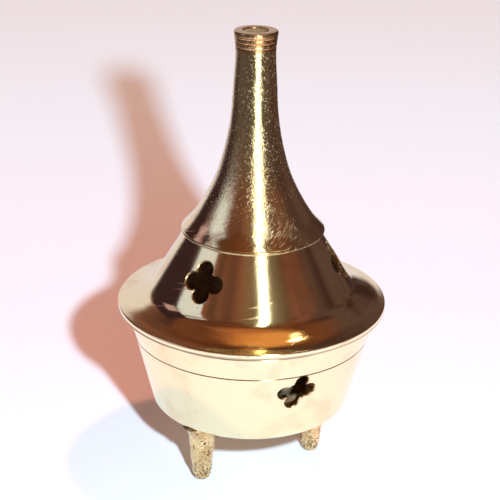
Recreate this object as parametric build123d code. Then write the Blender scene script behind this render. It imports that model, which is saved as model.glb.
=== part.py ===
from build123d import *
import math
import os

# Brass cone-incense burner: a footed turned bowl under a lift-off chimney lid.
# Millimetres, +Z up. Origin: on the floor, on the axis of the bowl and the lid.
# -Y is the front. Angles are in degrees about +Z, counted from +X.

# ---- driving dimensions ----
BRIM_R = 34.2           # lid brim, the widest part
BRIM_Z = 45.0           # top plane of the brim's edge
BRIM_THICK = 1.6        # height of the brim's edge
TOP_Z = 114.2           # mouth of the chimney

BASE_Z = 15.0           # underside of the bowl, held up by the feet
FLOOR_THICK = 2.4       # bowl's floor
RIM_R = 32.6            # bowl's rim, outside
RIM_INNER_R = 30.4      # bowl's rim, inside
LIP_ROUND = 1.2         # rounding of the rim's outer edge
GROOVE_Z = 36.2         # fine line turned round the bowl
GROOVE_R = 30.35
GROOVE_DEPTH = 0.35

SEAM_Z = 63.4           # where the chimney sits on the skirt
SEAM_R = 16.95          # skirt, at the seam
COLLAR_R = 15.4         # skirt's collar, inside the chimney
COLLAR_BORE_R = 13.9
COLLAR_TOP_Z = 65.6
RIDGE_R = 18.15         # chimney's rounded lower edge, which overhangs the skirt
NECK_GROOVES = ((110.3, 4.86), (111.5, 4.95), (112.6, 5.05))     # height, radius at the bottom
MOUTH_BORE_R = 3.1
BORE_START_Z = 97.0     # the chimney is a straight bore above this

FOOT_R = 3.7            # foot, where it meets the bowl
FOOT_TIP_R = 2.25
FOOT_FLAT_R = 1.3       # flat that stands on the floor
# each foot's angle and its distance from the axis: hand-set castings, so not quite even
FEET = {
    "foot_front_left": (-128.0, 19.6),
    "foot_right": (0.0, 16.4),
    "foot_rear": (118.0, 18.0),
}

SCREW_R = 1.25
SCREW_LENGTH = 8.0
SCREW_HEAD_R = 2.3
SCREW_HEAD_H = 1.2
SLOT_W = 0.6
SLOT_DEPTH = 0.6

PLATE_R = 13.0          # loose plate that the incense cone stands on
PLATE_RING_R = 9.0      # the ring under it
PLATE_RING_WALL = 1.2
PLATE_LIFT = 2.2        # height of that ring
PLATE_THICK = 1.0
PLATE_EDGE_H = 2.0

# quatrefoil vents: reach is from the middle of a vent to the tip of a petal
LID_VENT_Z = 56.2
LID_VENT_R = 21.4
LID_VENT_ANGLES = (-124.0, -4.0, 116.0)
LID_REACH = 5.25
LID_CORE_R = 2.9
LID_PETAL_R = 2.2
LID_PETALS = (2, 99, 186, 277)      # hand-cut, so the petals lean a little
BOWL_VENT_Z = 31.4
BOWL_VENT_R = 29.1
BOWL_VENT_ANGLES = (-66.8, 53.2, 173.2)
BOWL_REACH = 4.85
BOWL_CORE_R = 2.6
BOWL_PETAL_R = 1.75
BOWL_PETALS = (1, 71, 178, 251)
VENT_CUT = 5.0          # half the depth of the cutter

# ---- worked out from them ----
SEAT_Z = BRIM_Z - BRIM_THICK        # the brim rests on the bowl's rim here
BOWL_FLOOR_Z = BASE_Z + FLOOR_THICK


def turned(*edges):
    """A solid turned about Z from a closed outline drawn as (radius, height)."""
    return revolve(Plane.XZ * make_face(Curve() + list(edges)), axis=Axis.Z)


def turned_polygon(corners):
    """The same from (radius, height, corner rounding) points; rounding 0 is a sharp corner."""
    points = [(radius, height) for radius, height, rounding in corners]
    rounds = [rounding for radius, height, rounding in corners]
    return turned(FilletPolyline(*points, radius=rounds, close=True))


def quatrefoil(reach, core_r, petal_r, petal_angles):
    """Four overlapping round petals about a round core."""
    shape = Circle(core_r)
    offset = reach - petal_r
    for angle in petal_angles:
        x = offset * math.cos(math.radians(angle))
        y = offset * math.sin(math.radians(angle))
        shape += Pos(x, y) * Circle(petal_r)
    return shape


def vent_cutter(shape, angle, radius, height, wall_rise):
    """Cutter square to a wall whose outward side tips up by wall_rise degrees."""
    turn = math.radians(angle)
    rise = math.radians(wall_rise)
    outward = (math.cos(turn) * math.cos(rise), math.sin(turn) * math.cos(rise), math.sin(rise))
    wall = Plane(
        origin=(radius * math.cos(turn), radius * math.sin(turn), height),
        x_dir=(-math.sin(turn), math.cos(turn), 0),
        z_dir=outward,
    )
    return extrude(wall * shape, amount=VENT_CUT, both=True)


def bowl_body():
    """The bowl's outer shape, solid right through: straight flared wall, rounded base."""
    nick = GROOVE_DEPTH
    return turned_polygon([
        (0, BASE_Z, 0),
        (21.4, BASE_Z, 6.0),
        (25.6, 17.4, 2.5),
        (GROOVE_R - nick * 0.3, GROOVE_Z - nick, 0),
        (GROOVE_R - nick, GROOVE_Z, 0),
        (GROOVE_R + nick * 0.3, GROOVE_Z + nick, 0),
        (RIM_R, SEAT_Z, LIP_ROUND),
        (0, SEAT_Z, 0),
    ])


def bowl_hollow():
    """The space inside: a short upright seat for the lid, then the tapered wall."""
    return turned_polygon([
        (0, BOWL_FLOOR_Z, 0),
        (23.6, BOWL_FLOOR_Z, 2.0),
        (RIM_INNER_R, 40.6, 0),
        (RIM_INNER_R, SEAT_Z + 1, 0),
        (0, SEAT_Z + 1, 0),
    ])


def foot_place(name):
    """Where a foot's axis stands on the floor."""
    angle, radius = FEET[name]
    turn = math.radians(angle)
    return Pos(radius * math.cos(turn), radius * math.sin(turn), 0)


def screw():
    """Slotted pan-head screw, down through the bowl's floor, with its axis on Z."""
    head = turned_polygon([
        (0, BOWL_FLOOR_Z, 0),
        (SCREW_HEAD_R, BOWL_FLOOR_Z, 0),
        (SCREW_HEAD_R, BOWL_FLOOR_Z + SCREW_HEAD_H, 0.7),
        (0, BOWL_FLOOR_Z + SCREW_HEAD_H, 0),
    ])
    shank = Pos(0, 0, BOWL_FLOOR_Z - SCREW_LENGTH / 2) * Cylinder(SCREW_R, SCREW_LENGTH)
    slot = Pos(0, 0, BOWL_FLOOR_Z + SCREW_HEAD_H) * Box(3 * SCREW_HEAD_R, SLOT_W, 2 * SLOT_DEPTH)
    return head + shank - slot


def bowl():
    shape = bowl_body() - bowl_hollow()
    vent = quatrefoil(BOWL_REACH, BOWL_CORE_R, BOWL_PETAL_R, BOWL_PETALS)
    for angle in BOWL_VENT_ANGLES:
        shape -= vent_cutter(vent, angle, BOWL_VENT_R, BOWL_VENT_Z, -14)
    for name in FEET:
        shape -= foot_place(name) * Cylinder(SCREW_R, 4 * BASE_Z)
    return shape


def foot(name):
    """A tapered cast leg with a small web on its outer side, cut to sit on the bowl."""
    angle, radius = FEET[name]
    leg = turned_polygon([
        (0, 0, 0),
        (FOOT_FLAT_R, 0, 0),
        (FOOT_TIP_R + 0.15, 1.7, 1.2),
        (FOOT_R, BASE_Z - 1.5, 3.0),
        (FOOT_R, BASE_Z + 4, 0),
        (0, BASE_Z + 4, 0),
    ])
    web = Pos(FOOT_R * 0.55, 0, BASE_Z - 0.5) * Rot(0, 28, 0) * Cylinder(2.2, 6.5)
    shape = foot_place(name) * Rot(0, 0, angle) * (leg + web)
    tapped_depth = SCREW_LENGTH - FLOOR_THICK
    tapped_hole = Pos(0, 0, BASE_Z) * Cylinder(SCREW_R, 2 * tapped_depth)
    return shape - bowl_body() - foot_place(name) * tapped_hole


def foot_screws():
    return Compound(children=[foot_place(name) * screw() for name in FEET])


def ash_plate():
    """Shallow loose plate with a turned-up edge, standing on a ring over the screw heads."""
    z = BOWL_FLOOR_Z
    top = z + PLATE_LIFT + PLATE_THICK
    return turned_polygon([
        (0, z + PLATE_LIFT, 0),
        (PLATE_RING_R - PLATE_RING_WALL, z + PLATE_LIFT, 0),
        (PLATE_RING_R - PLATE_RING_WALL, z, 0),
        (PLATE_RING_R, z, 0),
        (PLATE_RING_R, z + PLATE_LIFT, 0),
        (PLATE_R - 1.2, z + PLATE_LIFT, 1.5),
        (PLATE_R, top + PLATE_EDGE_H, 0.3),
        (PLATE_R - 0.9, top + PLATE_EDGE_H, 0.3),
        (PLATE_R - 2.0, top, 1.0),
        (4.0, top, 0.5),
        (3.2, top + 0.8, 0.3),
        (2.4, top, 0.5),
        (0, top, 0),
    ])


def lid_skirt():
    """Conical skirt, flat brim, a spigot that drops into the bowl, and the chimney's collar."""
    shape = turned_polygon([
        (BRIM_R, SEAT_Z, 0.3),
        (BRIM_R, BRIM_Z, 0.3),
        (31.6, BRIM_Z + 0.35, 12.0),
        (26.2, BRIM_Z + 3.1, 6.0),
        (SEAM_R, SEAM_Z, 0),
        (COLLAR_R, SEAM_Z, 0),
        (COLLAR_R, COLLAR_TOP_Z, 0),
        (COLLAR_BORE_R, COLLAR_TOP_Z, 0),
        (COLLAR_BORE_R, SEAM_Z - 1.4, 0),
        (SEAM_R - 1.0, SEAM_Z - 1.4, 0),
        (24.6, BRIM_Z + 3.0, 4.0),
        (28.2, SEAT_Z + 0.6, 0),
        (28.2, SEAT_Z - 2.4, 0),
        (29.8, SEAT_Z - 2.4, 0.3),
        (29.8, SEAT_Z, 0),
    ])
    vent = quatrefoil(LID_REACH, LID_CORE_R, LID_PETAL_R, LID_PETALS)
    for angle in LID_VENT_ANGLES:
        shape -= vent_cutter(vent, angle, LID_VENT_R, LID_VENT_Z, 31)
    return shape


def neck_groove(height, bottom_r):
    """Cutter for a hair-fine groove round the chimney's neck."""
    return turned_polygon([
        (bottom_r, height, 0),
        (bottom_r + 1, height - 1, 0),
        (bottom_r + 1, height + 1, 0),
    ])


def chimney():
    """Trumpet-shaped chimney: a long concave flare up to a slim neck and a flat-topped mouth."""
    flare = Spline(
        (17.75, 64.25), (14.52, 68.2), (9.97, 76.5), (7.36, 84.8), (5.88, 93.2),
        (5.32, 101.5), (4.9, 108.5), (5.2, 112.4),
    )
    mouth = [
        Spline((5.2, 112.4), (5.37, 113.4), (5.05, TOP_Z), tangents=[(0.08, 1), (-1, 0)]),
        Line((5.05, TOP_Z), (MOUTH_BORE_R + 0.3, TOP_Z)),
        RadiusArc((MOUTH_BORE_R + 0.3, TOP_Z), (MOUTH_BORE_R, TOP_Z - 0.3), -0.3),
        Line((MOUTH_BORE_R, TOP_Z - 0.3), (MOUTH_BORE_R, BORE_START_Z)),
    ]
    inside = Spline(
        (MOUTH_BORE_R, BORE_START_Z), (3.5, 90.0), (4.7, 84.0), (7.6, 76.0),
        (COLLAR_BORE_R, COLLAR_TOP_Z),
        tangents=[(0, -1), (0.75, -0.66)],
    )
    socket = [
        Line((COLLAR_BORE_R, COLLAR_TOP_Z), (COLLAR_R, COLLAR_TOP_Z)),
        Line((COLLAR_R, COLLAR_TOP_Z), (COLLAR_R, SEAM_Z)),
        Line((COLLAR_R, SEAM_Z), (RIDGE_R - 0.5, SEAM_Z)),
        ThreePointArc((RIDGE_R - 0.5, SEAM_Z), (RIDGE_R, SEAM_Z + 0.42), (17.75, 64.25)),
    ]
    shape = turned(flare, *mouth, inside, *socket)
    for height, bottom_r in NECK_GROOVES:
        shape -= neck_groove(height, bottom_r)
    return shape


PARTS = {
    "bowl": bowl,
    "foot_screws": foot_screws,
    "ash_plate": ash_plate,
    "lid_skirt": lid_skirt,
    "chimney": chimney,
}

os.makedirs("parts", exist_ok=True)
for node, make in PARTS.items():
    export_step(make(), f"parts/{node}.step")
for node in FEET:
    export_step(foot(node), f"parts/{node}.step")
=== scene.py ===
import bpy
import math
import numpy as np
from mathutils import Matrix, Vector, noise


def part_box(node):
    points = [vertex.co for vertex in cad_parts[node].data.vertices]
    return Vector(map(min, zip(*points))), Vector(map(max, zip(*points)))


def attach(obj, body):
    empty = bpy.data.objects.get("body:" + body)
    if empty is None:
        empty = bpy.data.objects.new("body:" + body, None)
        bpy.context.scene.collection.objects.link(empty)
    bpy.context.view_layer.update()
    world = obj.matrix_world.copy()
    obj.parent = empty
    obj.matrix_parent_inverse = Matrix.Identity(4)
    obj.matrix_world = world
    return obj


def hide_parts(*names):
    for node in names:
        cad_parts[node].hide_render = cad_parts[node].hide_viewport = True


# Brass cone-incense burner. Lengths are in metres, in the frame of the CAD model:
# +Z up, the floor at z = 0, the front at -Y.

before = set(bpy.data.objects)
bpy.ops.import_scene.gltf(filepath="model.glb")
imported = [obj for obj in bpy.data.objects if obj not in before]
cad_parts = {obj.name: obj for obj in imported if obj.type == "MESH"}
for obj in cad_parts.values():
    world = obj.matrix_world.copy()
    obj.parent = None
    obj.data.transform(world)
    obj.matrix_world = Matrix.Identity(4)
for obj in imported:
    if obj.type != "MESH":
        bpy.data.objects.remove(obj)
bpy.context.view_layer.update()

MM = 0.001
SEGMENTS = 240          # facets round each turned piece
ROUND_STEPS = 6         # segments in each rounded corner of an outline
SMOOTH_ANGLE = 35.0     # degrees between facets that still shade as one surface

# heights and radii read off the CAD nodes
base_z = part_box("bowl")[0].z
seat_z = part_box("bowl")[1].z
brim_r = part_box("lid_skirt")[1].x
spigot_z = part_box("lid_skirt")[0].z
collar_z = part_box("lid_skirt")[1].z
seam_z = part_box("chimney")[0].z
mouth_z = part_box("chimney")[1].z
ridge_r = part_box("chimney")[1].x
plate_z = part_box("ash_plate")[0].z
plate_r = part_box("ash_plate")[1].x

# bowl
BASE_R = 21.4 * MM          # where its underside turns up
CORNER_R = 25.6 * MM        # where its wall starts
CORNER_Z = 17.4 * MM
GROOVE_R = 30.35 * MM
GROOVE_Z = 36.2 * MM
GROOVE_DEPTH = 0.24 * MM
RIM_R = 32.6 * MM
RIM_INNER_R = 30.4 * MM
RIM_BORE_Z = 40.6 * MM      # lower end of the bore that takes the lid's spigot
LIP_ROUND = 1.2 * MM
FLOOR_R = 23.6 * MM         # inside, at the floor

# lid
BRIM_THICK = 1.6 * MM
COVE_R = 31.6 * MM          # where the brim starts to sweep up
CONE_R = 26.2 * MM          # lower end of the skirt's cone
CONE_RISE = 3.1 * MM
SPIGOT_R = 29.8 * MM
SPIGOT_BORE_R = 28.2 * MM
SEAM_R = 16.95 * MM
SHELL_R = 24.6 * MM         # lower end of the cone inside
SHELL_THICK = 1.4 * MM
COLLAR_R = 15.4 * MM
COLLAR_BORE_R = 13.9 * MM

# chimney
FLARE = ((17.75, 64.25), (14.52, 68.2), (9.97, 76.5), (7.36, 84.8), (5.88, 93.2),
         (5.32, 101.5), (4.92, 108.5), (5.2, 112.4), (5.37, 113.5))     # radius, height in mm
THROAT = ((3.1, 97.0), (3.5, 90.0), (4.7, 84.0), (7.6, 76.0), (13.9, 65.6))
MOUTH_R = 5.30 * MM
MOUTH_BORE_R = 3.1 * MM
NECK_GROOVES = (110.3 * MM, 111.5 * MM, 112.6 * MM)
NECK_GROOVE_DEPTH = 0.06 * MM
NECK_GROOVE_WIDTH = 0.15 * MM

brim_z = seat_z + BRIM_THICK
cone_z = brim_z + CONE_RISE
bowl_floor_z = plate_z

# the rings of vents: where a vent's middle is and how far its wall leans back, the size of
# its core and petals, the vents' angles round the axis and the petals' angles in a vent
LID_VENTS = {"radius": 21.4 * MM, "height": 56.2 * MM, "rise": 31.0,
             "reach": 5.25 * MM, "core_r": 2.9 * MM, "petal_r": 2.2 * MM,
             "angles": (-124.0, -4.0, 116.0), "petals": (2, 99, 186, 277)}
BOWL_VENTS = {"radius": 29.1 * MM, "height": 31.4 * MM, "rise": -14.0,
              "reach": 4.85 * MM, "core_r": 2.6 * MM, "petal_r": 1.75 * MM,
              "angles": (-66.8, 53.2, 173.2), "petals": (1, 71, 178, 251)}
VENT_BEVEL = 0.28 * MM
VENT_STEPS = 144            # points round a vent's outline

# angle and distance from the axis
FEET = {"foot_front_left": (-128.0, 19.6 * MM), "foot_right": (0.0, 16.4 * MM),
        "foot_rear": (118.0, 18.0 * MM)}
FOOT_TIP_R = 2.30 * MM
FOOT_TIP_H = 1.9 * MM
FOOT_TOP_R = 3.62 * MM
FOOT_REACH = 3.6 * MM       # from its axis to where its top meets the bowl
FOOT_AROUND = 72            # facets round each foot
FOOT_ROWS = 76              # and rows of them up it

OUTSIDE, INSIDE, CUT = 0, 1, 2      # material slots of a turned piece


# ---------------------------------------------------------------- outlines

def rounded(corners):
    """(radius, height) points along corners given as (radius, height, rounding radius)."""
    path = []
    last = len(corners) - 1
    for i, (r, z, rounding) in enumerate(corners):
        corner = Vector((r, z))
        if rounding == 0 or i in (0, last):
            path.append(corner)
            continue
        before = (Vector(corners[i - 1][:2]) - corner).normalized()
        after = (Vector(corners[i + 1][:2]) - corner).normalized()
        half = before.angle(after) / 2
        reach = rounding / math.tan(half)
        centre = corner + (before + after).normalized() * rounding / math.sin(half)
        start = corner + before * reach - centre
        turn = start.angle_signed(corner + after * reach - centre)
        for step in range(ROUND_STEPS + 1):
            spin = Matrix.Rotation(-turn * step / ROUND_STEPS, 2)
            path.append(centre + spin @ start)
    return path


def curve_through(points, steps):
    """A smooth curve through the points, with steps segments in each span."""
    ends = [2 * Vector(points[0]) - Vector(points[1])]
    ends += [Vector(p) for p in points]
    ends += [2 * Vector(points[-1]) - Vector(points[-2])]
    path = []
    for a, b, c, d in zip(ends, ends[1:], ends[2:], ends[3:]):
        for step in range(steps):
            t = step / steps
            path.append(0.5 * (2 * b + (c - a) * t + (2 * a - 5 * b + 4 * c - d) * t * t
                               + (3 * b - a - 3 * c + d) * t ** 3))
    path.append(Vector(points[-1]))
    return path


def refined(path, longest=0.9 * MM):
    """The same path with its long stretches divided."""
    out = [path[0]]
    for a, b in zip(path, path[1:]):
        pieces = max(1, math.ceil((b - a).length / longest))
        out += [a.lerp(b, k / pieces) for k in range(1, pieces + 1)]
    return out


# ---------------------------------------------------------------- turned pieces

def placed(name, data):
    """A new object with this mesh, lamp or camera, in the scene."""
    made = bpy.data.objects.new(name, data)
    bpy.context.scene.collection.objects.link(made)
    return made


def turned(name, stretches):
    """A piece turned about Z. stretches is a list of (material slot, path); each path starts
    where the one before ends, with the metal on its left, and the outline closes on itself
    or on the axis."""
    path = [stretches[0][1][0]]
    slots = []
    for slot, stretch in stretches:
        fine = refined(stretch)
        path += fine[1:]
        slots += [slot] * (len(fine) - 1)
    closed = (path[0] - path[-1]).length < 1e-7
    if closed:
        path.pop()
    verts, rings = [], []
    for point in path:
        if point.x < 1e-7:
            rings.append([len(verts)] * SEGMENTS)
            verts.append((0, 0, point.y))
            continue
        rings.append(list(range(len(verts), len(verts) + SEGMENTS)))
        for k in range(SEGMENTS):
            turn = 2 * math.pi * k / SEGMENTS
            verts.append((point.x * math.cos(turn), point.x * math.sin(turn), point.y))
    faces, face_slots = [], []
    pairs = list(zip(rings, rings[1:] + ([rings[0]] if closed else [])))
    for (low, high), slot in zip(pairs, slots):
        for k in range(SEGMENTS):
            j = (k + 1) % SEGMENTS
            corners = [low[k], low[j], high[j], high[k]]
            faces.append(list(dict.fromkeys(corners)))
            face_slots.append(slot)
    mesh = bpy.data.meshes.new(name)
    mesh.from_pydata(verts, [], faces)
    mesh.polygons.foreach_set("material_index", face_slots)
    mesh.polygons.foreach_set("use_smooth", [True] * len(faces))
    piece = placed(name, mesh)
    piece["outline"] = [c for point in path for c in point]
    piece["closed"] = closed
    return piece


def profile_normals(path, closed):
    """For each segment of the outline, the outward normals at its two ends."""
    points = np.array(path)
    if closed:
        points = np.vstack([points, points[:1]])
    along = np.diff(points, axis=0)
    along /= np.linalg.norm(along, axis=1)[:, None]
    flat = np.stack([along[:, 1], -along[:, 0]], axis=1)
    start, end = flat.copy(), flat.copy()
    limit = math.cos(math.radians(SMOOTH_ANGLE))
    count = len(flat)
    for i in range(count if closed else count - 1):
        j = (i + 1) % count
        if flat[i] @ flat[j] > limit:
            both = flat[i] + flat[j]
            both /= np.linalg.norm(both)
            end[i], start[j] = both, both
    return points[:-1], points[1:], start, end


def polish(piece):
    """Gives every facet of the turned surfaces the true normal of the round shape,
    also beside the cut vents, so that reflections run on without a kink."""
    mesh = piece.data
    path = np.array(piece["outline"]).reshape(-1, 2)
    a, b, start, end = profile_normals(path, piece["closed"])
    count = len(mesh.polygons)
    centre = np.zeros(count * 3)
    mesh.polygons.foreach_get("center", centre)
    centre = centre.reshape(-1, 3)
    slot = np.zeros(count, int)
    mesh.polygons.foreach_get("material_index", slot)
    middle = np.stack([np.hypot(centre[:, 0], centre[:, 1]), centre[:, 2]], axis=1)
    span = b - a
    length2 = (span ** 2).sum(1)
    best = np.empty(count, int)
    for low in range(0, count, 4000):
        block = middle[low:low + 4000, None, :] - a[None]
        t = ((block * span[None]).sum(2) / length2).clip(0, 1)
        gap = ((block - t[..., None] * span[None]) ** 2).sum(2)
        best[low:low + 4000] = gap.argmin(1)
    co = np.zeros(len(mesh.vertices) * 3)
    mesh.vertices.foreach_get("co", co)
    co = co.reshape(-1, 3)
    totals = np.zeros(count, int)
    mesh.polygons.foreach_get("loop_total", totals)
    owner = np.repeat(np.arange(count), totals)
    corner = np.zeros(len(mesh.loops), int)
    mesh.loops.foreach_get("vertex_index", corner)
    at = co[corner]
    radius = np.hypot(at[:, 0], at[:, 1])
    seg = best[owner]
    offset = np.stack([radius, at[:, 2]], axis=1) - a[seg]
    t = ((offset * span[seg]).sum(1) / length2[seg]).clip(0, 1)[:, None]
    flat = start[seg] * (1 - t) + end[seg] * t
    flat /= np.linalg.norm(flat, axis=1)[:, None]
    on_axis = radius < 1e-7
    safe = np.where(on_axis, 1, radius)
    normal = np.stack([flat[:, 0] * at[:, 0] / safe, flat[:, 0] * at[:, 1] / safe, flat[:, 1]], 1)
    normal[slot[owner] == CUT] = 0
    mesh.set_sharp_from_angle(angle=math.radians(SMOOTH_ANGLE))
    mesh.normals_split_custom_set(normal.tolist())


# ---------------------------------------------------------------- vents

def quatrefoil(vents, grow):
    """Outline points of four round petals about a round core, grown outwards by grow."""
    offset = vents["reach"] - vents["petal_r"]
    circles = [(0.0, 0.0, vents["core_r"] + grow)]
    for angle in vents["petals"]:
        turn = math.radians(angle)
        circles.append((offset * math.cos(turn), offset * math.sin(turn), vents["petal_r"] + grow))
    outline = []
    for k in range(VENT_STEPS):
        turn = 2 * math.pi * k / VENT_STEPS
        dx, dy = math.cos(turn), math.sin(turn)
        far = 0
        for x, y, r in circles:
            along = x * dx + y * dy
            inside = r * r - (x * x + y * y - along * along)
            if inside > 0:
                far = max(far, along + math.sqrt(inside))
        outline.append((far * dx, far * dy))
    return outline


def vent_cutter(vents, angle, outer_radius):
    """Cutter for one vent. outer_radius gives the wall's radius at a height, and the cutter
    widens by the bevel where it comes through that wall."""
    turn, rise = math.radians(angle), math.radians(vents["rise"])
    out = Vector((math.cos(turn) * math.cos(rise), math.sin(turn) * math.cos(rise), math.sin(rise)))
    side = Vector((-math.sin(turn), math.cos(turn), 0))
    up = out.cross(side)
    middle = Vector((vents["radius"] * math.cos(turn), vents["radius"] * math.sin(turn),
                     vents["height"]))

    def surface(x, y):
        """Where the line through (x, y), square to the vent, meets the wall."""
        low, high = -4 * MM, 4 * MM
        for _ in range(30):
            depth = (low + high) / 2
            p = middle + side * x + up * y + out * depth
            if math.hypot(p.x, p.y) < outer_radius(p.z):
                low = depth
            else:
                high = depth
        return low

    narrow = quatrefoil(vents, 0)
    wide = quatrefoil(vents, VENT_BEVEL)
    wall = [surface(x, y) for x, y in wide]
    flat = [0] * VENT_STEPS
    rings = []
    for outline, levels, depth in ((narrow, flat, -5 * MM), (narrow, wall, -VENT_BEVEL),
                                   (wide, wall, 0), (wide, flat, 3 * MM)):
        rings.append([middle + side * x + up * y + out * (level + depth)
                      for (x, y), level in zip(outline, levels)])
    count = len(narrow)
    verts = [v for ring in rings for v in ring]
    faces = [tuple(reversed(range(count))), tuple(range(3 * count, 4 * count))]
    for low in range(3):
        for k in range(count):
            j = (k + 1) % count
            faces.append((low * count + k, low * count + j,
                          (low + 1) * count + j, (low + 1) * count + k))
    mesh = bpy.data.meshes.new("vent_cutter")
    mesh.from_pydata(verts, [], faces)
    mesh.polygons.foreach_set("material_index", [CUT] * len(faces))
    mesh.polygons.foreach_set("use_smooth", [True] * len(faces))
    return placed("vent_cutter", mesh)


def cut(piece, cutters, finishes):
    """Cuts the cutters out of the piece and removes them."""
    for finish in finishes:
        piece.data.materials.append(finish)
    for cutter in cutters:
        for finish in finishes:
            cutter.data.materials.append(finish)
        step = piece.modifiers.new("cut", "BOOLEAN")
        step.operation = "DIFFERENCE"
        step.solver = "EXACT"
        step.object = cutter
    graph = bpy.context.evaluated_depsgraph_get()
    made = bpy.data.meshes.new_from_object(piece.evaluated_get(graph))
    piece.modifiers.clear()
    piece.data = made
    for cutter in cutters:
        bpy.data.objects.remove(cutter)


# ---------------------------------------------------------------- materials

BRASS, COPPER = (0.93, 0.84, 0.54, 1), (0.66, 0.33, 0.12, 1)
# the second colour of the next line is a painted shadow: the dark gap in the joint between bowl and
# lid
SPECK, JOINT_SHADE = (0.16, 0.09, 0.04, 1), (0.075, 0.034, 0.014, 1)
ASH = (0.36, 0.30, 0.25, 1)
RUBBED_PLACE = Vector((7.8 * MM, -12.6 * MM, 67.8 * MM))    # on the flare, at the front right


class Nodes:
    """Short ways to add and link shader nodes in the node tree of a material, world or lamp."""

    def __init__(self, owner):
        owner.use_nodes = True
        self.owner = owner
        self.tree = owner.node_tree
        self.shader = self.tree.nodes.get("Principled BSDF")

    def put(self, value, socket):
        """Links a value that comes from a node to the socket, or sets a constant on it."""
        if isinstance(value, bpy.types.NodeSocket):
            self.tree.links.new(value, socket)
        else:
            socket.default_value = value

    def feed(self, name, value):
        """Gives the material's shader a value."""
        self.put(value, self.shader.inputs[name])

    def add(self, kind, inputs=(), **settings):
        node = self.tree.nodes.new(kind)
        for key, value in settings.items():
            setattr(node, key, value)
        for key, value in dict(inputs).items():
            self.put(value, node.inputs[key])
        return node

    def height(self, value, strength, distance):
        """Uses value as a bump map."""
        bump = self.add("ShaderNodeBump", {"Height": value, "Strength": strength,
                                           "Distance": distance})
        self.feed("Normal", bump.outputs[0])

    def math(self, operation, a, b=0.0):
        return self.add("ShaderNodeMath", {0: a, 1: b}, operation=operation).outputs[0]

    def ramp(self, value, low, high, to_low=0.0, to_high=1.0):
        """value mapped from low..high to to_low..to_high, held at both ends."""
        node = self.add("ShaderNodeMapRange", {0: value, 1: low, 2: high, 3: to_low, 4: to_high},
                        interpolation_type="SMOOTHSTEP")
        return node.outputs[0]

    def noise(self, vector, scale, detail=3.0, roughness=0.55):
        node = self.add("ShaderNodeTexNoise",
                        {"Vector": vector, "Scale": scale, "Detail": detail,
                         "Roughness": roughness})
        return node.outputs[0]

    def mix(self, factor, a, b):
        return self.add("ShaderNodeMix", {0: factor, 6: a, 7: b}, data_type="RGBA").outputs[2]


def lathe_coordinates(nodes):
    """Object coordinates, height, distance from the axis, a vector in which noise makes
    circles round the axis, and one that unrolls the surface: round from the front, and up."""
    place = nodes.add("ShaderNodeTexCoord").outputs["Object"]
    split = nodes.add("ShaderNodeSeparateXYZ", {0: place})
    x, y, z = split.outputs
    radius = nodes.math("SQRT", nodes.math("ADD", nodes.math("MULTIPLY", x, x),
                                           nodes.math("MULTIPLY", y, y)))
    along = nodes.math("SUBTRACT", z, radius)
    circles = nodes.add("ShaderNodeCombineXYZ", {
        0: nodes.math("MULTIPLY", x, 0.02), 1: nodes.math("MULTIPLY", y, 0.02), 2: along}).outputs[0]
    azimuth = nodes.math("ARCTAN2", x, nodes.math("MULTIPLY", y, -1.0))
    skin = nodes.add("ShaderNodeCombineXYZ", {
        0: nodes.math("MULTIPLY", azimuth, ridge_r), 1: nodes.math("MULTIPLY", z, 1.3)}).outputs[0]
    return place, z, radius, circles, skin


def scratches(nodes, skin, tilt, length, scale, low, high):
    """Fine straight scratches that climb to the right at tilt degrees."""
    way = nodes.add("ShaderNodeMapping",
                    {"Vector": skin, "Rotation": (0.0, 0.0, math.radians(tilt)),
                     "Scale": (length, 1.0, 1.0)}, vector_type="TEXTURE").outputs[0]
    return nodes.ramp(nodes.noise(way, scale, 1.0), low, high)


def joint_painted_shade(nodes, z, radius, skin):
    """1 in the painted shadow under the brim, in the gap between bowl and lid, strongest at the
    front left, and 0 elsewhere.
    """
    gap = nodes.math("ABSOLUTE", nodes.math("SUBTRACT", z, seat_z - 0.1 * MM))
    line = nodes.math("MULTIPLY", nodes.ramp(gap, 0.55 * MM, 0.8 * MM, 1.0, 0.0),
                      nodes.ramp(radius, RIM_INNER_R, RIM_INNER_R + 1.0 * MM))
    across = nodes.add("ShaderNodeSeparateXYZ", {0: skin}).outputs[0]
    return nodes.math("MULTIPLY", line, nodes.ramp(across, -22.0 * MM, 2.0 * MM, 1.0, 0.55))


def rubbed_marks(nodes, place, skin, z):
    """Crossed scratches in a ragged patch on the flare, down to its ridge."""
    away = nodes.add("ShaderNodeVectorMath", {0: place, 1: RUBBED_PLACE},
                     operation="DISTANCE").outputs["Value"]
    ragged = nodes.ramp(nodes.noise(place, 220.0), 0.3, 0.7, -3.0 * MM, 3.0 * MM)
    patch = nodes.ramp(nodes.math("ADD", away, ragged), 2.5 * MM, 10.5 * MM, 1.0, 0.0)
    patch = nodes.math("MULTIPLY", patch, nodes.ramp(z, seam_z, seam_z + 0.4 * MM))
    fine = scratches(nodes, skin, 30, 8.0, 2800.0, 0.52, 0.63)
    cross = scratches(nodes, skin, 48, 7.0, 2500.0, 0.56, 0.66)
    return nodes.math("MULTIPLY", nodes.math("MAXIMUM", fine, cross), patch)


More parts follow.
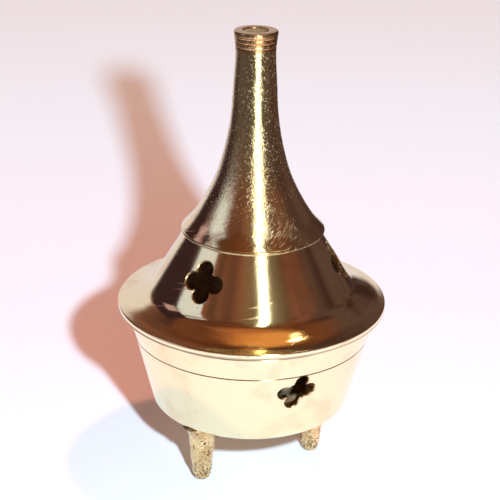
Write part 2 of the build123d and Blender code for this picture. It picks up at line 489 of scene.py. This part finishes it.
def turned_brass(name):
    """Polished lathe-turned brass: fine rings, polishing scratches, a frosted grain that
    grows up the neck, a patch of hard rubbing on the flare, a faint copper bloom, copper in
    the neck's grooves and a painted shadow in the joint between bowl and lid."""
    nodes = Nodes(bpy.data.materials.new(name))
    place, z, radius, circles, skin = lathe_coordinates(nodes)
    bloom = nodes.ramp(nodes.noise(place, 90.0, 4.0), 0.50, 0.74, 0.0, 0.30)
    neck_z = NECK_GROOVES[0]
    neck = nodes.math("MULTIPLY", nodes.ramp(z, neck_z - 1.1 * MM, neck_z - 0.1 * MM),
                      nodes.ramp(z, mouth_z - 1.2 * MM, mouth_z - 0.7 * MM, 1.0, 0.35))
    bands = nodes.math("MULTIPLY", neck, nodes.ramp(nodes.noise(circles, 1800.0, 2.0), 0.3, 0.5))
    specks = nodes.ramp(nodes.noise(place, 1500.0, 2.0), 0.71, 0.76, 0.0, 0.6)
    colour = nodes.mix(nodes.math("MAXIMUM", bloom, nodes.math("MULTIPLY", bands, 0.9)),
                       BRASS, COPPER)
    colour = nodes.mix(specks, colour, SPECK)
    # painted shadow in the gap under the brim, darkest at the front left
    nodes.feed("Base Color", nodes.mix(joint_painted_shade(nodes, z, radius, skin), colour, JOINT_SHADE))
    nodes.feed("Metallic", 1.0)
    nodes.feed("Anisotropic", 0.8)
    nodes.feed("Tangent", nodes.add("ShaderNodeTangent", direction_type="RADIAL",
                                    axis="Z").outputs[0])
    marks = rubbed_marks(nodes, place, skin, z)
    frost = nodes.math("MULTIPLY", nodes.ramp(nodes.noise(place, 1800.0, 3.0, 0.65), 0.48, 0.66),
                       nodes.ramp(z, 60.0 * MM, 84.0 * MM, 0.06, 0.42))
    rough = nodes.ramp(nodes.noise(place, 60.0, 3.0), 0.3, 0.7, 0.03, 0.08)
    for layer in (nodes.math("MULTIPLY", marks, 0.36), frost, nodes.math("MULTIPLY", bands, 0.24)):
        rough = nodes.math("MAXIMUM", rough, layer)
    nodes.feed("Roughness", rough)
    worn = nodes.math("MULTIPLY", nodes.ramp(nodes.noise(place, 70.0, 2.0), 0.38, 0.60, 0.4, 1.0),
                      nodes.ramp(z, 55.0 * MM, 95.0 * MM, 1.4, 13.0))
    height = nodes.math("MULTIPLY", nodes.noise(place, 1500.0, 4.0, 0.65), worn)
    stray = scratches(nodes, skin, 20, 22.0, 1500.0, 0.68, 0.72)
    for layer, depth in ((nodes.noise(circles, 5200.0, 2.0, 0.6), 0.35),
                         (nodes.noise(circles, 700.0, 2.0), 0.5),
                         (marks, -1.0), (stray, -0.7), (specks, -0.6)):
        height = nodes.math("ADD", height, nodes.math("MULTIPLY", layer, depth))
    nodes.height(height, 0.25, 0.05 * MM)
    return nodes.owner


def sooty_brass(name, base, dark):
    """The inside: brass dulled by smoke, with lathe rings and a tan bloom of ash."""
    nodes = Nodes(bpy.data.materials.new(name))
    place, _, _, circles, _ = lathe_coordinates(nodes)
    cloud = nodes.noise(place, 120.0, 5.0, 0.65)
    colour = nodes.mix(nodes.ramp(cloud, 0.35, 0.65), base, dark)
    ash = nodes.ramp(nodes.noise(place, 420.0, 4.0, 0.7), 0.45, 0.75)
    nodes.feed("Base Color", nodes.mix(nodes.math("MULTIPLY", ash, 0.6), colour, ASH))
    nodes.feed("Metallic", 0.35)
    nodes.feed("Roughness", nodes.ramp(cloud, 0.3, 0.7, 0.4, 0.7))
    rings = nodes.math("MULTIPLY", nodes.noise(circles, 900.0, 3.0), 0.6)
    nodes.height(nodes.math("ADD", rings, nodes.math("MULTIPLY", ash, 0.4)), 0.4, 0.08 * MM)
    return nodes.owner


def cut_brass(name):
    """The filed walls of the vents, the mouth's lip and the screws: duller, with file marks."""
    nodes = Nodes(bpy.data.materials.new(name))
    place = nodes.add("ShaderNodeTexCoord").outputs["Object"]
    marks = nodes.noise(place, 2600.0, 2.0)
    nodes.feed("Base Color", nodes.mix(nodes.ramp(marks, 0.35, 0.7), (0.80, 0.60, 0.33, 1),
                                       (0.52, 0.36, 0.18, 1)))
    nodes.feed("Metallic", 1.0)
    nodes.feed("Roughness", nodes.ramp(marks, 0.3, 0.7, 0.22, 0.42))
    nodes.height(marks, 0.4, 0.06 * MM)
    return nodes.owner


def cast_brass(name):
    """The feet: sand-cast brass with a grain that darkens towards the tip and scattered
    dark pits."""
    nodes = Nodes(bpy.data.materials.new(name))
    place = nodes.add("ShaderNodeTexCoord").outputs["Object"]
    grain = nodes.noise(place, 1500.0, 4.0, 0.6)
    pits = nodes.ramp(nodes.noise(place, 1150.0, 1.5), 0.30, 0.36, 1.0, 0.0)
    shade = nodes.ramp(nodes.noise(place, 300.0, 3.0), 0.35, 0.65)
    low = nodes.ramp(nodes.add("ShaderNodeSeparateXYZ", {0: place}).outputs[2],
                     1.0 * MM, 9.0 * MM, 1.0, 0.3)
    colour = nodes.mix(shade, (0.92, 0.70, 0.36, 1), (0.66, 0.46, 0.21, 1))
    colour = nodes.mix(nodes.math("MULTIPLY", low, nodes.ramp(grain, 0.44, 0.54)), colour,
                       (0.26, 0.17, 0.075, 1))
    nodes.feed("Base Color", nodes.mix(pits, colour, (0.09, 0.05, 0.02, 1)))
    nodes.feed("Metallic", 0.92)
    nodes.feed("Roughness", nodes.ramp(grain, 0.3, 0.7, 0.36, 0.2))
    nodes.height(nodes.math("SUBTRACT", grain, nodes.math("MULTIPLY", pits, 0.8)), 0.45, 0.2 * MM)
    return nodes.owner


brass = turned_brass("polished_brass")
brass_inside = sooty_brass("smoked_brass", (0.62, 0.40, 0.18, 1), (0.30, 0.17, 0.08, 1))
brass_cut = cut_brass("filed_brass")
brass_cast = cast_brass("cast_brass")
brass_plate = sooty_brass("plate_brass", (0.50, 0.37, 0.20, 1), (0.18, 0.13, 0.08, 1))
brass_screw = cut_brass("screw_brass")
finishes = (brass, brass_inside, brass_cut)


# ---------------------------------------------------------------- bowl

def bowl_radius(z):
    """Outer radius of the bowl's wall at a height."""
    if z > GROOVE_Z:
        return GROOVE_R + (RIM_R - GROOVE_R) * (z - GROOVE_Z) / (seat_z - GROOVE_Z)
    return CORNER_R + (GROOVE_R - CORNER_R) * (z - CORNER_Z) / (GROOVE_Z - CORNER_Z)


def make_bowl():
    nick = 0.17 * MM            # half the groove's width
    outside = rounded([
        (0, base_z, 0),
        (BASE_R, base_z, 6.0 * MM),
        (CORNER_R, CORNER_Z, 2.5 * MM),
        (bowl_radius(GROOVE_Z - nick), GROOVE_Z - nick, 0.1 * MM),
        (GROOVE_R - GROOVE_DEPTH, GROOVE_Z, 0),
        (bowl_radius(GROOVE_Z + nick), GROOVE_Z + nick, 0.1 * MM),
        (RIM_R, seat_z, LIP_ROUND),
        (RIM_INNER_R, seat_z, 0),
    ])
    inside = rounded([
        (RIM_INNER_R, seat_z, 0),
        (RIM_INNER_R, RIM_BORE_Z, 0.5 * MM),
        (FLOOR_R, bowl_floor_z, 2.0 * MM),
        (0, bowl_floor_z, 0),
    ])
    piece = turned("bowl_turned", [(OUTSIDE, outside), (INSIDE, inside)])
    cut(piece, [vent_cutter(BOWL_VENTS, a, bowl_radius) for a in BOWL_VENTS["angles"]], finishes)
    polish(piece)
    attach(piece, "base")
    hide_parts("bowl")


# ---------------------------------------------------------------- lid

def skirt_radius(z):
    """Outer radius of the skirt's straight cone at a height."""
    return CONE_R + (SEAM_R - CONE_R) * (z - cone_z) / (seam_z - cone_z)


def make_skirt():
    underside_r = brim_r - 0.5 * MM
    outside = rounded([
        (underside_r, seat_z, 0),
        (brim_r, seat_z, 0.3 * MM),
        (brim_r, brim_z, 0.3 * MM),
        (COVE_R, brim_z + 0.35 * MM, 12.0 * MM),
        (CONE_R, cone_z, 6.0 * MM),
        (SEAM_R, seam_z, 0),
        (COLLAR_R, seam_z, 0),
        (COLLAR_R, collar_z, 0),
        (COLLAR_BORE_R, collar_z, 0),
    ])
    inside = rounded([
        (COLLAR_BORE_R, collar_z, 0),
        (COLLAR_BORE_R, seam_z - SHELL_THICK, 0),
        (SEAM_R - 1.0 * MM, seam_z - SHELL_THICK, 0),
        (SHELL_R, brim_z + 3.0 * MM, 4.0 * MM),
        (SPIGOT_BORE_R, seat_z + 0.6 * MM, 0),
        (SPIGOT_BORE_R, spigot_z, 0.2 * MM),
        (SPIGOT_R, spigot_z, 0.3 * MM),
        (SPIGOT_R, seat_z, 0),
        (underside_r, seat_z, 0),
    ])
    piece = turned("lid_skirt_turned", [(OUTSIDE, outside), (INSIDE, inside)])
    cut(piece, [vent_cutter(LID_VENTS, a, skirt_radius) for a in LID_VENTS["angles"]], finishes)
    polish(piece)
    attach(piece, "lid")
    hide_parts("lid_skirt")


def grooved(path):
    """The flare with the neck's fine grooves pressed in, and only as many points as it needs."""
    out = []
    for point in refined(path, 0.12 * MM):
        depth = sum(NECK_GROOVE_DEPTH * math.exp(-((point.y - z) / NECK_GROOVE_WIDTH) ** 2)
                    for z in NECK_GROOVES)
        if point.y > NECK_GROOVES[0] - 1.3 * MM or not out or (point - out[-1]).length > 0.7 * MM:
            out.append(Vector((point.x - depth, point.y)))
    return out


def make_chimney():
    flare = curve_through([(r * MM, z * MM) for r, z in FLARE], 10)
    throat = curve_through([(r * MM, z * MM) for r, z in THROAT], 8)
    ridge = rounded([
        (COLLAR_R, seam_z, 0),
        (ridge_r, seam_z, 0.45 * MM),
        (ridge_r - 0.08 * MM, seam_z + 0.9 * MM, 0.5 * MM),
        (*flare[0], 0),
    ])
    mouth = rounded([
        (*flare[-1], 0),
        (MOUTH_R, mouth_z, 0.35 * MM),
        (MOUTH_BORE_R, mouth_z, 0.3 * MM),
        (MOUTH_BORE_R, mouth_z - 0.4 * MM, 0),
    ])
    bore = [mouth[-1], throat[0]]
    socket = rounded([
        (COLLAR_BORE_R, collar_z, 0),
        (COLLAR_R, collar_z, 0),
        (COLLAR_R, seam_z, 0),
    ])
    piece = turned("chimney_turned", [
        (OUTSIDE, ridge), (OUTSIDE, grooved(flare)), (CUT, mouth),
        (INSIDE, bore), (INSIDE, throat), (INSIDE, socket)])
    for finish in finishes:
        piece.data.materials.append(finish)
    polish(piece)
    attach(piece, "lid")
    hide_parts("chimney")


# ---------------------------------------------------------------- plate, screws

def make_plate():
    """The plate on its ring, with a turned-up edge and a small raised boss in the middle."""
    under = plate_z + 2.2 * MM
    top = under + 1.0 * MM
    lip = top + 2.0 * MM
    ring_r, ring_inner_r = 9.0 * MM, 7.8 * MM
    outline = rounded([
        (0, under, 0),
        (ring_inner_r, under, 0),
        (ring_inner_r, plate_z, 0.2 * MM),
        (ring_r, plate_z, 0.2 * MM),
        (ring_r, under, 0),
        (plate_r - 1.1 * MM, under, 1.5 * MM),
        (plate_r, lip, 0.3 * MM),
        (plate_r - 0.9 * MM, lip, 0.3 * MM),
        (plate_r - 2.0 * MM, top, 1.0 * MM),
        (4.0 * MM, top, 0.5 * MM),
        (3.2 * MM, top + 0.8 * MM, 0.3 * MM),
        (2.4 * MM, top, 0.5 * MM),
        (0, top, 0),
    ])
    piece = turned("ash_plate_turned", [(OUTSIDE, outline)])
    piece.data.materials.append(brass_plate)
    polish(piece)
    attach(piece, "plate")
    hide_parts("ash_plate")


def finish_screws():
    """The screws keep their CAD shape and get a filed-brass finish."""
    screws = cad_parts["foot_screws"]
    screws.data.materials.clear()
    screws.data.materials.append(brass_screw)


# ---------------------------------------------------------------- feet

def underside(x, y):
    """Height of the bowl's underside over a point on the floor."""
    r = math.hypot(x, y)
    flat_r = 19.0 * MM
    if r < flat_r:
        return base_z
    t = min((r - flat_r) / (CORNER_R - flat_r), 1.0)
    return base_z + (CORNER_Z - base_z) * t ** 2.2


def foot_radius(height, total):
    """Radius of the cast leg at a height: blunt tip, slow taper, a flared foot of braze."""
    if height < FOOT_TIP_H:
        return FOOT_TIP_R * math.sqrt(1 - 0.68 * (1 - height / FOOT_TIP_H) ** 2)
    up = (height - FOOT_TIP_H) / (total - FOOT_TIP_H)
    flare = 0.55 * MM * max(0.0, (height / total - 0.93) / 0.07) ** 2
    return FOOT_TIP_R + (FOOT_TOP_R - FOOT_TIP_R) * up ** 0.8 + flare


def cast_roughness(place):
    """How far the cast skin stands out from the smooth leg at a place."""
    lump = noise.noise(place * 420) * 0.14 * MM + noise.noise(place * 1100) * 0.06 * MM
    pit = min(0.0, noise.noise(place * 700 + Vector((9, 4, 2))) + 0.42) * 0.7 * MM
    return lump + pit


def make_foot(node, angle, distance):
    """A cast foot, with a web that spreads up the bowl on its outer side."""
    turn = math.radians(angle)
    middle = Vector((distance * math.cos(turn), distance * math.sin(turn), 0))
    verts = [tuple(middle)]
    for row in range(FOOT_ROWS):
        for k in range(FOOT_AROUND):
            spin = 2 * math.pi * k / FOOT_AROUND
            way = Vector((math.cos(spin), math.sin(spin), 0))
            outer = max(0.0, math.cos(spin - turn))
            top = underside(*(middle + way * FOOT_REACH).to_2d()) + 0.4 * MM
            height = top * row / (FOOT_ROWS - 1)
            r = foot_radius(height, top)
            web = 1.5 * MM * outer ** 3 * max(0.0, (height / top - 0.72) / 0.28) ** 1.5
            place = middle + way * (r + web) + Vector((0, 0, height))
            fade = min(1.0, height / (1.0 * MM))
            verts.append(tuple(place + way * cast_roughness(place) * fade))
    faces = [(0, 1 + (k + 1) % FOOT_AROUND, 1 + k) for k in range(FOOT_AROUND)]
    for low in range(1, (FOOT_ROWS - 1) * FOOT_AROUND, FOOT_AROUND):
        high = low + FOOT_AROUND
        for k in range(FOOT_AROUND):
            j = (k + 1) % FOOT_AROUND
            faces.append((low + k, low + j, high + j, high + k))
    centre = len(verts)
    verts.append((middle.x, middle.y, base_z + 0.5 * MM))
    faces += [(high + k, high + (k + 1) % FOOT_AROUND, centre) for k in range(FOOT_AROUND)]
    mesh = bpy.data.meshes.new(node + "_cast")
    mesh.from_pydata(verts, [], faces)
    mesh.polygons.foreach_set("use_smooth", [True] * len(faces))
    mesh.materials.append(brass_cast)
    piece = placed(node + "_cast", mesh)
    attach(piece, "base")
    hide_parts(node)


# ---------------------------------------------------------------- stage

PAPER_EDGE = (130 * MM, 180 * MM)           # mirror reflections lose the paper between these
PAPER_SEEN = (0.82, 0.72, 0.78, 1)          # the far paper in a mirror reflection
FLOOR_HALF = 3.0                            # half a side of the floor, in metres
CAMERA_TURN = (-0.109, 22.263, 0.953)       # degrees: to the right, down, and rolled
CAMERA_AWAY = 316.1 * MM                    # in front of the axis
CAMERA_RISE = 141.93 * MM                   # above the brim
LENS, SENSOR = 96.84, 36.0                  # in mm, as Blender takes them
FLASH_PLACE = Vector((45 * MM, -253 * MM, 189 * MM))
FLASH_POWER = 85.0
CEILING_LAMP = (110.0, 70.7)                # degrees from the front and above the horizon
# the lit ceiling and the lamp's own image: direction, inner and outer radius and colour
CEILING_GLOW = (
    ((160, 73), 2, 16, (0.80, 0.32, 0.09, 1)),
    ((140, 66), 1.4, 3.2, (9.0, 7.5, 4.5, 1)),
)
# the flash as the scratched brass smears it: azimuths, softness, least strength and colour
STRIP = (
    (-10, 44, 12, 0.3, (0.21, 0.165, 0.10, 1)),
    (6, 28, 4, 0.4, (0.62, 0.55, 0.40, 1)),
    (12.5, 20.5, 3.5, 1.0, (9.0, 8.6, 7.6, 1)),
)
# the window's dark frame, its panes and the dark corner below, as seen from the burner:
# azimuths, heights, softness of the edges and colour
WINDOW = (
    (-136, -93, -14, 50, 1.5, (0.040, 0.018, 0.022, 1)),
    (-115, -97, 22, 34, 1.5, (0.58, 0.36, 0.40, 1)),
    (-93, -62, 16, 40, 1.0, (0.72, 0.74, 0.88, 1)),
    (-92, -61, 43, 47, 0.8, (0.60, 0.60, 0.70, 1)),
)


def direction(azimuth, rise):
    """Unit vector towards a place in the room: azimuth in degrees from the front, positive
    to the right, and rise in degrees above the horizon."""
    turn, up = math.radians(azimuth), math.radians(rise)
    return Vector((math.sin(turn) * math.cos(up), -math.cos(turn) * math.cos(up), math.sin(up)))


def make_floor():
    """A sheet of pale paper, a little bluer towards the back. Mirror reflections see it only
    out to its edge, and beyond that the dark table, while the camera sees it run on."""
    nodes = Nodes(bpy.data.materials.new("floor"))
    place = nodes.add("ShaderNodeTexCoord").outputs["Object"]
    grain = nodes.noise(place, 14.0, 3.0)
    colour = nodes.mix(grain, (0.765, 0.735, 0.76, 1), (0.79, 0.76, 0.785, 1))
    back = nodes.ramp(nodes.add("ShaderNodeSeparateXYZ", {0: place}).outputs[1], 0.0, 0.35)
    colour = nodes.mix(back, colour, (0.745, 0.90, 0.95, 1))
    nodes.feed("Base Color", colour)
    nodes.feed("Roughness", 0.9)
    nodes.feed("Specular IOR Level", 0.0)
    away = nodes.add("ShaderNodeVectorMath", {0: place}, operation="LENGTH").outputs["Value"]
    near = nodes.ramp(away, *PAPER_EDGE, 1.0, 0.0)
    direct = nodes.math("SUBTRACT", 1.0, nodes.add("ShaderNodeLightPath").outputs["Is Glossy Ray"])
    nodes.feed("Alpha", nodes.math("MAXIMUM", near, direct))
    mesh = bpy.data.meshes.new("floor")
    corners = ((-1, -1), (1, -1), (1, 1), (-1, 1))
    mesh.from_pydata([(x * FLOOR_HALF, y * FLOOR_HALF, 0) for x, y in corners],
                     [], [(0, 1, 2, 3)])
    mesh.materials.append(nodes.owner)
    floor = placed("floor", mesh)


def add_lamp(data, place, towards):
    """Puts a lamp in the scene, shining from place along -towards. Polished brass does not
    mirror it: the room has its own picture of each lamp."""
    lamp = placed(data.name, data)
    lamp.visible_glossy = False
    lamp.location = place
    lamp.rotation_mode = "QUATERNION"
    lamp.rotation_quaternion = towards.to_track_quat("Z", "Y")


def make_lights():
    """A small cool lamp beside the camera and a warm ceiling lamp, each with its shadow."""
    flash = bpy.data.lights.new("flash", "POINT")
    flash.energy = FLASH_POWER
    flash.color = (0.60, 0.80, 0.97)
    flash.shadow_soft_size = 7.0 * MM
    nodes = Nodes(flash)
    even = nodes.add("ShaderNodeLightFalloff", {"Strength": 1.0}).outputs["Constant"]
    nodes.put(even, nodes.tree.nodes["Emission"].inputs["Strength"])
    add_lamp(flash, FLASH_PLACE, Vector((0, 0, 1)))
    ceiling = bpy.data.lights.new("ceiling_lamp", "SUN")
    ceiling.energy = 1.35
    ceiling.color = (1.0, 0.38, 0.22)
    ceiling.angle = math.radians(5.0)
    add_lamp(ceiling, Vector((0, 0, 1)), direction(*CEILING_LAMP))


def make_room():
    """The room as light: pale paper behind, brown walls and a dark table on the camera's side,
    a window to its left and the glow round the ceiling lamp. The camera itself sees a plain
    pale backdrop, and matt surfaces get one even light."""
    world = bpy.data.worlds.new("room")
    bpy.context.scene.world = world
    nodes = Nodes(world)
    nodes.tree.nodes.clear()
    way = nodes.add("ShaderNodeTexCoord").outputs["Generated"]
    x, y, z = nodes.add("ShaderNodeSeparateXYZ", {0: way}).outputs
    azimuth = nodes.math("ARCTAN2", x, nodes.math("MULTIPLY", y, -1.0))
    rise = nodes.math("ARCSINE", z)

    def above(level, soft):
        return nodes.ramp(rise, math.radians(level - soft), math.radians(level + soft))

    def beside(angle, soft):
        return nodes.ramp(azimuth, math.radians(angle - soft), math.radians(angle + soft))

    def within(low, high):
        """Past the first edge and not past the second."""
        return nodes.math("MULTIPLY", low, nodes.math("SUBTRACT", 1.0, high))

    def patch(left, right, low, high, soft):
        """1 inside a window of directions and 0 outside it, in degrees, with soft edges."""
        return nodes.math("MULTIPLY", within(beside(left, soft), beside(right, soft)),
                          within(above(low, soft), above(high, soft)))

    cloud = nodes.ramp(nodes.noise(way, 3.2, 4.0), 0.36, 0.64)
    table = nodes.mix(cloud, (0.13, 0.092, 0.078, 1), (0.07, 0.045, 0.040, 1))
    wall = nodes.mix(cloud, (0.24, 0.085, 0.050, 1), (0.12, 0.050, 0.034, 1))
    dark_wall = nodes.mix(cloud, (0.11, 0.060, 0.050, 1), (0.045, 0.020, 0.018, 1))
    upper = nodes.mix(cloud, (0.17, 0.055, 0.025, 1), (0.11, 0.036, 0.018, 1))
    room = nodes.mix(above(14, 3), table, wall)
    room = nodes.mix(beside(75, 20), room, dark_wall)
    room = nodes.mix(above(48, 8), room, upper)
    room = nodes.mix(above(74, 9), room, (0.50, 0.17, 0.06, 1))
    behind_left = nodes.math("SUBTRACT", 1.0, beside(-140, 2))
    for behind, top in ((behind_left, 30), (beside(166, 2), 19)):
        room = nodes.mix(within(behind, above(top, 1)), room, PAPER_SEEN)
    for left, right, low, high, soft, colour in WINDOW:
        room = nodes.mix(patch(left, right, low, high, soft), room, colour)
    for azimuth_and_rise, inner, outer, colour in CEILING_GLOW:
        toward = nodes.add("ShaderNodeVectorMath", {0: way, 1: direction(*azimuth_and_rise)},
                           operation="DOT_PRODUCT").outputs["Value"]
        glow = nodes.ramp(toward, math.cos(math.radians(outer)), math.cos(math.radians(inner)))
        room = nodes.mix(glow, room, colour)
    speckle = nodes.ramp(nodes.noise(way, 9.0, 3.0), 0.3, 0.7, 0.3, 1.0)
    for left, right, soft, dimming, colour in STRIP:
        strength = nodes.math("MULTIPLY", patch(left, right, -38, 62, soft),
                              nodes.math("MAXIMUM", speckle, dimming))
        room = nodes.mix(strength, room, colour)
    path = nodes.add("ShaderNodeLightPath").outputs
    colour = nodes.mix(path["Is Diffuse Ray"], room, (0.40, 0.23, 0.19, 1))
    colour = nodes.mix(path["Is Camera Ray"], colour, (0.93, 0.86, 0.89, 1))
    light = nodes.add("ShaderNodeBackground", {"Color": colour, "Strength": 1.0}).outputs[0]
    nodes.add("ShaderNodeOutputWorld", {"Surface": light})


def make_camera():
    """Close in front of the burner and a little above it, looking down at the lid."""
    yaw, pitch, roll = (math.radians(angle) for angle in CAMERA_TURN)
    ahead = Vector((math.sin(yaw) * math.cos(pitch), math.cos(yaw) * math.cos(pitch),
                    -math.sin(pitch)))
    right = Vector((math.cos(yaw), -math.sin(yaw), 0))
    up = right.cross(ahead)
    across = right * math.cos(roll) + up * math.sin(roll)
    upright = up * math.cos(roll) - right * math.sin(roll)
    data = bpy.data.cameras.new("camera")
    data.sensor_width = SENSOR
    data.lens = LENS
    data.clip_start = 10 * MM
    camera = placed("camera", data)
    spot = Vector((0, -CAMERA_AWAY, brim_z + CAMERA_RISE))
    turn = Matrix((across, upright, -ahead)).transposed().to_4x4()
    camera.matrix_world = Matrix.Translation(spot) @ turn
    bpy.context.scene.camera = camera


make_bowl()
make_skirt()
make_chimney()
make_plate()
finish_screws()
for node, (angle, distance) in FEET.items():
    make_foot(node, angle, distance)
make_floor()
make_lights()
make_room()
make_camera()
bpy.context.scene.view_settings.view_transform = "Standard"
